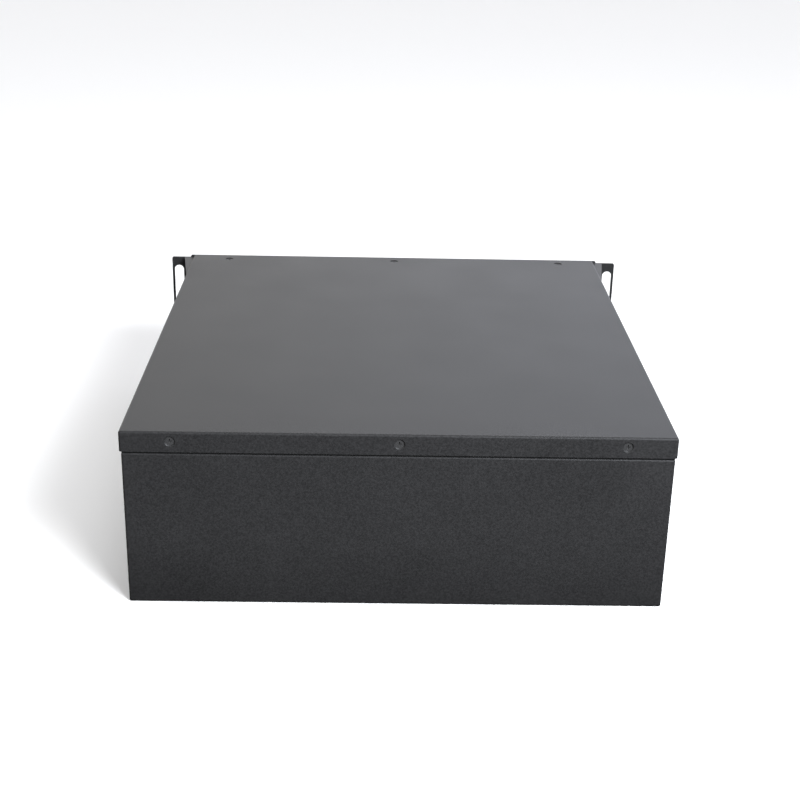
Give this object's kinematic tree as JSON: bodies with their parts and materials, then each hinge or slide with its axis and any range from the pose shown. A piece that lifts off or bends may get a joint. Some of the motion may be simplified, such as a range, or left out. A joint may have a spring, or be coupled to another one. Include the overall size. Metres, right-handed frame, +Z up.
{
  "type": "battery pack",
  "caption": "Rack-mount lithium battery pack: folded sheet-steel case with overlapping screwed cover, slotted rack ears, pull handles and a front panel of controls and terminals.",
  "frame": {"origin": "middle of the flat underside of the case", "axes": "+Z up, -Y out of the front panel, +X to the right as seen from the front"},
  "size_m": [0.4826, 0.523, 0.15],
  "materials": {
    "powder_coat": "matte",
    "black_screw": "satin",
    "zinc_steel": "satin",
    "handle_metal": "satin",
    "overlay_film": "satin",
    "black_plastic": "satin",
    "red_plastic": "satin",
    "grey_plastic": "satin",
    "white_plastic": "satin",
    "green_plastic": "satin",
    "window": "gloss",
    "screen": "gloss",
    "lamp": "gloss",
    "brass": "satin",
    "circuit_board": "satin",
    "cell_can": "gloss",
    "aluminium": "satin",
    "copper": "satin",
    "insulation": "matte",
    "cable_sheath": "matte"
  },
  "bodies": {
    "pack": {"base_pad": "insulation", "bms_board": "circuit_board", "bms_heatsink": "aluminium", "breaker_body": "white_plastic", "busbar_nuts": "zinc_steel", "busbars": "copper", "case_tray": "powder_coat", "cell_spacers": "insulation", "cell_terminals": "aluminium", "cells_front_row": "cell_can", "cells_rear_row": "cell_can", "cover_nut_plates": "zinc_steel", "cover_screws": "black_screw", "dip_switch_body": "black_plastic", "display_bezel": "black_plastic", "display_lens": "window", "display_module": "screen", "dry_contact_block": "green_plastic", "ear_screws": "black_screw", "end_plates": "aluminium", "front_panel": "powder_coat", "front_panel_screws": "black_screw", "front_top_rail": "powder_coat", "ground_nut": "zinc_steel", "ground_stud": "zinc_steel", "handle_screws": "zinc_steel", "interface_board": "circuit_board", "main_fuse": "white_plastic", "network_ports": "black_plastic", "panel_overlay": "overlay_film", "power_cables": "cable_sheath", "power_switch_body": "black_plastic", "press_nuts": "zinc_steel", "pull_handle_left": "handle_metal", "pull_handle_right": "handle_metal", "rack_ear_left": "powder_coat", "rack_ear_right": "powder_coat", "status_leds": "lamp", "terminal_block_negative": "black_plastic", "terminal_block_positive": "red_plastic", "terminal_cover_pins": "zinc_steel", "terminal_nuts": "zinc_steel", "terminal_studs": "brass", "tie_bands": "zinc_steel", "top_cover": "powder_coat", "top_insulation": "insulation"},
    "breaker_toggle": {"breaker_toggle": "black_plastic"},
    "rocker": {"power_switch_rocker": "black_plastic"},
    "reset_key": {"reset_button": "red_plastic"},
    "positive_hood": {"terminal_cover_positive": "red_plastic"},
    "negative_hood": {"terminal_cover_negative": "black_plastic"},
    "menu_key_1": {"display_button_1": "grey_plastic"},
    "address_slider_1": {"dip_slider_1": "white_plastic"},
    "menu_key_2": {"display_button_2": "grey_plastic"},
    "address_slider_2": {"dip_slider_2": "white_plastic"},
    "menu_key_3": {"display_button_3": "grey_plastic"},
    "address_slider_3": {"dip_slider_3": "white_plastic"},
    "menu_key_4": {"display_button_4": "grey_plastic"},
    "address_slider_4": {"dip_slider_4": "white_plastic"}
  },
  "joints": [
    {"name": "breaker_throw", "type": "hinge", "parent": "pack", "child": "breaker_toggle", "pos_m": [0.059, -0.24, 0.085], "axis": [-1, 0, 0], "range_deg": [0, 64]},
    {"name": "rocker_tilt", "type": "hinge", "parent": "pack", "child": "rocker", "pos_m": [-0.008, -0.242, 0.107], "axis": [-1, 0, 0], "range_deg": [0, 20]},
    {"name": "reset_press", "type": "slide", "parent": "pack", "child": "reset_key", "axis": [0, 1, 0], "range_m": [0, 0.001], "stiffness_N_per_m": 400, "springref_m": -0.001},
    {"name": "positive_hood_lift", "type": "hinge", "parent": "pack", "child": "positive_hood", "pos_m": [0.158, -0.2475, 0.1165], "axis": [-1, 0, 0], "range_deg": [0, 100]},
    {"name": "negative_hood_lift", "type": "hinge", "parent": "pack", "child": "negative_hood", "pos_m": [0.118, -0.2475, 0.1165], "axis": [-1, 0, 0], "range_deg": [0, 100]},
    {"name": "menu_press_1", "type": "slide", "parent": "pack", "child": "menu_key_1", "axis": [0, 1, 0], "range_m": [0, 0.001], "stiffness_N_per_m": 400, "springref_m": -0.001},
    {"name": "menu_press_2", "type": "slide", "parent": "pack", "child": "menu_key_2", "axis": [0, 1, 0], "range_m": [0, 0.001], "stiffness_N_per_m": 400, "springref_m": -0.001},
    {"name": "menu_press_3", "type": "slide", "parent": "pack", "child": "menu_key_3", "axis": [0, 1, 0], "range_m": [0, 0.001], "stiffness_N_per_m": 400, "springref_m": -0.001},
    {"name": "menu_press_4", "type": "slide", "parent": "pack", "child": "menu_key_4", "axis": [0, 1, 0], "range_m": [0, 0.001], "stiffness_N_per_m": 400, "springref_m": -0.001},
    {"name": "address_slide_1", "type": "slide", "parent": "pack", "child": "address_slider_1", "axis": [0, 0, 1], "range_m": [0, 0.0018]},
    {"name": "address_slide_2", "type": "slide", "parent": "pack", "child": "address_slider_2", "axis": [0, 0, 1], "range_m": [0, 0.0018]},
    {"name": "address_slide_3", "type": "slide", "parent": "pack", "child": "address_slider_3", "axis": [0, 0, 1], "range_m": [0, 0.0018]},
    {"name": "address_slide_4", "type": "slide", "parent": "pack", "child": "address_slider_4", "axis": [0, 0, 1], "range_m": [0, 0.0018]}
  ]
}
